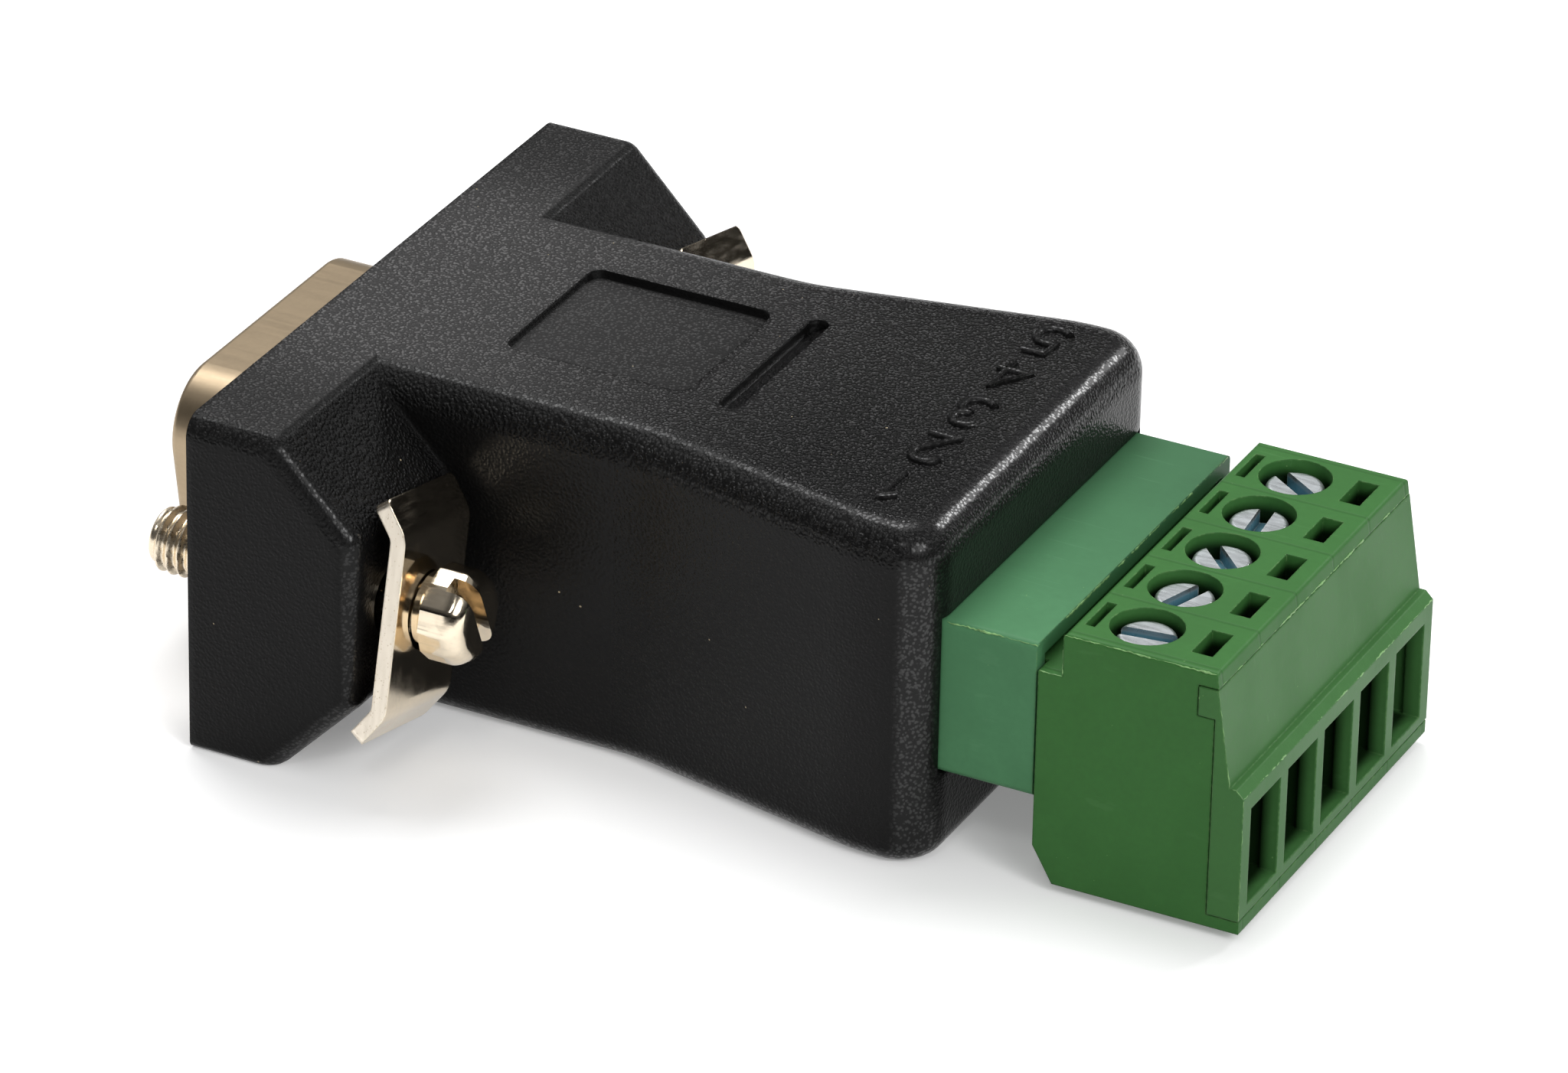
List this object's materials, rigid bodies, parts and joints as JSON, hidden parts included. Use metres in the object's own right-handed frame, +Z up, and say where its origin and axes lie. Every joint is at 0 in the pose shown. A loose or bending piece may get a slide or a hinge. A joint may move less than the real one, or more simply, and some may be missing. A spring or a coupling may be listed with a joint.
{
  "type": "d-sub terminal block adapter",
  "caption": "Plug-in screw terminal block on a hooded D-sub female connector, with captive jack screws, for wiring a serial port without solder.",
  "frame": {"origin": "middle of the bounding box, at the height of the hood's flat bottom", "axes": "+X from the D-sub face to the wire entries, +Y across the poles, +Z up"},
  "size_m": [0.049, 0.0326, 0.0151],
  "materials": {
    "hood_plastic": "fine leather-like moulded grain, smoother on the sides",
    "tinned_shell": "tin plated drawn steel, soft sheen",
    "insulator_plastic": "smooth moulded",
    "gold_contact": "thin gold flash",
    "board_laminate": "solder mask over laminate",
    "chip_package": "moulded epoxy with tinned leads",
    "ceramic_body": "fired ceramic",
    "header_plastic": "fine satin moulding",
    "plug_plastic": "fine satin moulding",
    "tinned_contact": "tin plated",
    "nickel_hardware": "nickel plated, small handling marks",
    "zinc_screw": "zinc plated with a bluish passivation"
  },
  "bodies": {
    "adapter_body": {"hood": "hood_plastic", "dsub_front_shell": "tinned_shell", "dsub_rear_shell": "tinned_shell", "dsub_insulator": "insulator_plastic", "circuit_board": "board_laminate", "line_driver_chip": "chip_package", "transceiver_chip": "chip_package", "chip_capacitors": "ceramic_body", "header_shroud": "header_plastic", "socket_contact_1": "gold_contact", "socket_contact_2": "gold_contact", "socket_contact_3": "gold_contact", "socket_contact_4": "gold_contact", "socket_contact_5": "gold_contact", "socket_contact_6": "gold_contact", "socket_contact_7": "gold_contact", "socket_contact_8": "gold_contact", "socket_contact_9": "gold_contact", "header_pin_1": "tinned_contact", "header_pin_2": "tinned_contact", "header_pin_3": "tinned_contact", "header_pin_4": "tinned_contact", "header_pin_5": "tinned_contact"},
    "retainer_near": {"retainer_plate_near": "nickel_hardware"},
    "jack_near": {"jack_screw_near": "nickel_hardware"},
    "retainer_far": {"retainer_plate_far": "nickel_hardware"},
    "jack_far": {"jack_screw_far": "nickel_hardware"},
    "plug": {"plug_housing": "plug_plastic", "plug_front_cover": "plug_plastic", "contact_spring_1": "tinned_contact", "contact_spring_2": "tinned_contact", "contact_spring_3": "tinned_contact", "contact_spring_4": "tinned_contact", "contact_spring_5": "tinned_contact"},
    "screw_1": {"terminal_screw_1": "zinc_screw"},
    "cage_1": {"clamp_cage_1": "zinc_screw"},
    "screw_2": {"terminal_screw_2": "zinc_screw"},
    "cage_2": {"clamp_cage_2": "zinc_screw"},
    "screw_3": {"terminal_screw_3": "zinc_screw"},
    "cage_3": {"clamp_cage_3": "zinc_screw"},
    "screw_4": {"terminal_screw_4": "zinc_screw"},
    "cage_4": {"clamp_cage_4": "zinc_screw"},
    "screw_5": {"terminal_screw_5": "zinc_screw"},
    "cage_5": {"clamp_cage_5": "zinc_screw"}
  },
  "joints": [
    {"name": "retainer_near_play", "type": "slide", "parent": "adapter_body", "child": "retainer_near", "axis": [1, 0, 0], "range_m": [-0.0002, 0.0004]},
    {"name": "jack_near_turn", "type": "hinge", "parent": "retainer_near", "child": "jack_near", "pos_m": [0, -0.01249, 0.00754], "axis": [1, 0, 0], "continuous": true},
    {"name": "retainer_far_play", "type": "slide", "parent": "adapter_body", "child": "retainer_far", "axis": [1, 0, 0], "range_m": [-0.0002, 0.0004]},
    {"name": "jack_far_turn", "type": "hinge", "parent": "retainer_far", "child": "jack_far", "pos_m": [0, 0.01249, 0.00754], "axis": [1, 0, 0], "continuous": true},
    {"name": "plug_pull", "type": "slide", "parent": "adapter_body", "child": "plug", "axis": [1, 0, 0], "range_m": [0, 0.01]},
    {"name": "screw_1_turn", "type": "hinge", "parent": "plug", "child": "screw_1", "pos_m": [0.01915, -0.007, 0.00754], "axis": [0, 0, 1], "range_deg": [-2160, 0]},
    {"name": "cage_1_rise", "type": "slide", "parent": "plug", "child": "cage_1", "axis": [0, 0, 1], "range_m": [0, 0.0024]},
    {"name": "screw_2_turn", "type": "hinge", "parent": "plug", "child": "screw_2", "pos_m": [0.01915, -0.0035, 0.00754], "axis": [0, 0, 1], "range_deg": [-2160, 0]},
    {"name": "cage_2_rise", "type": "slide", "parent": "plug", "child": "cage_2", "axis": [0, 0, 1], "range_m": [0, 0.0024]},
    {"name": "screw_3_turn", "type": "hinge", "parent": "plug", "child": "screw_3", "pos_m": [0.01915, 0, 0.00754], "axis": [0, 0, 1], "range_deg": [-2160, 0]},
    {"name": "cage_3_rise", "type": "slide", "parent": "plug", "child": "cage_3", "axis": [0, 0, 1], "range_m": [0, 0.0024]},
    {"name": "screw_4_turn", "type": "hinge", "parent": "plug", "child": "screw_4", "pos_m": [0.01915, 0.0035, 0.00754], "axis": [0, 0, 1], "range_deg": [-2160, 0]},
    {"name": "cage_4_rise", "type": "slide", "parent": "plug", "child": "cage_4", "axis": [0, 0, 1], "range_m": [0, 0.0024]},
    {"name": "screw_5_turn", "type": "hinge", "parent": "plug", "child": "screw_5", "pos_m": [0.01915, 0.007, 0.00754], "axis": [0, 0, 1], "range_deg": [-2160, 0]},
    {"name": "cage_5_rise", "type": "slide", "parent": "plug", "child": "cage_5", "axis": [0, 0, 1], "range_m": [0, 0.0024]}
  ],
  "couplings": [
    {"joint": "screw_1_turn", "follows": "cage_1_rise", "rad_per_m": -15708},
    {"joint": "screw_2_turn", "follows": "cage_2_rise", "rad_per_m": -15708},
    {"joint": "screw_3_turn", "follows": "cage_3_rise", "rad_per_m": -15708},
    {"joint": "screw_4_turn", "follows": "cage_4_rise", "rad_per_m": -15708},
    {"joint": "screw_5_turn", "follows": "cage_5_rise", "rad_per_m": -15708}
  ]
}
